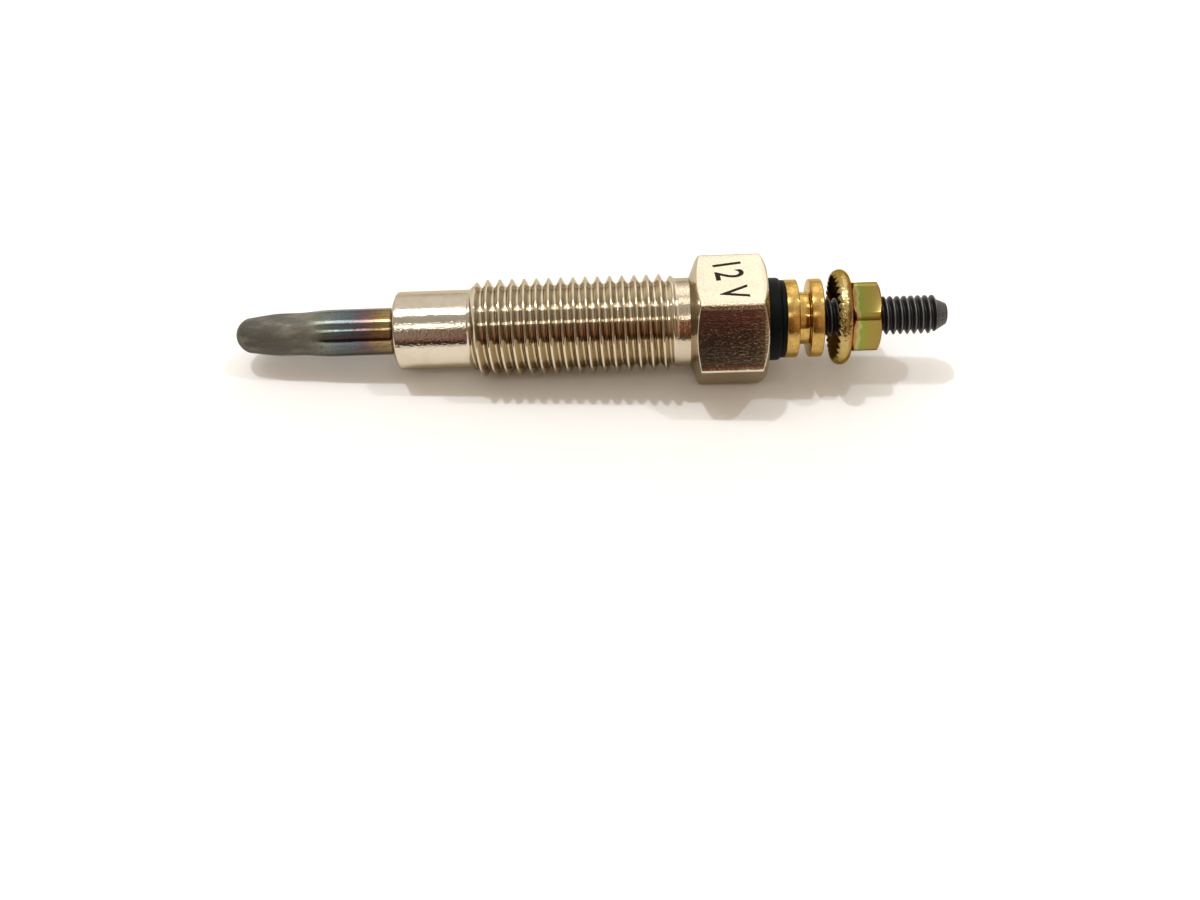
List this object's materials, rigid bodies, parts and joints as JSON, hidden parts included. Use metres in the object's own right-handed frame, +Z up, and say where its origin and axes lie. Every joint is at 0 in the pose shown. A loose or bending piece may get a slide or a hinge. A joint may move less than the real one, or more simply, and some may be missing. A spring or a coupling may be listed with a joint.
{
  "type": "diesel glow plug",
  "caption": "Diesel glow plug with a swaged heater sheath, threaded nickel-plated housing, hexagon and a stud terminal with a round brass nut and a serrated flange nut.",
  "frame": {"origin": "on the plug's axis, at the front face of the conical seat", "axes": "+X along the axis towards the terminal stud, +Z up from the flat of the hexagon that it lies on"},
  "size_m": [0.073, 0.0138, 0.012],
  "materials": {
    "nickel_plate": "bright nickel plate with fine turning marks",
    "sheath_metal": "oxidised grey at the tip, heat tinted towards the housing",
    "coil_wire": "drawn wire",
    "magnesia": "packed powder",
    "rubber": "matte",
    "black_oxide_steel": "black oxide",
    "black_resin": "moulded, matte",
    "brass": "turned, lightly tarnished",
    "yellow_zinc": "yellow chromated zinc"
  },
  "bodies": {
    "root": {"housing": "nickel_plate", "heater_sheath": "sheath_metal", "heating_coil": "coil_wire", "control_coil": "coil_wire", "magnesia_fill": "magnesia", "sheath_seal": "rubber", "center_rod": "black_oxide_steel", "o_ring": "rubber", "insulating_bush": "black_resin", "insulating_washer": "black_resin", "terminal_nut": "brass", "flange_nut": "yellow_zinc"}
  },
  "joints": []
}
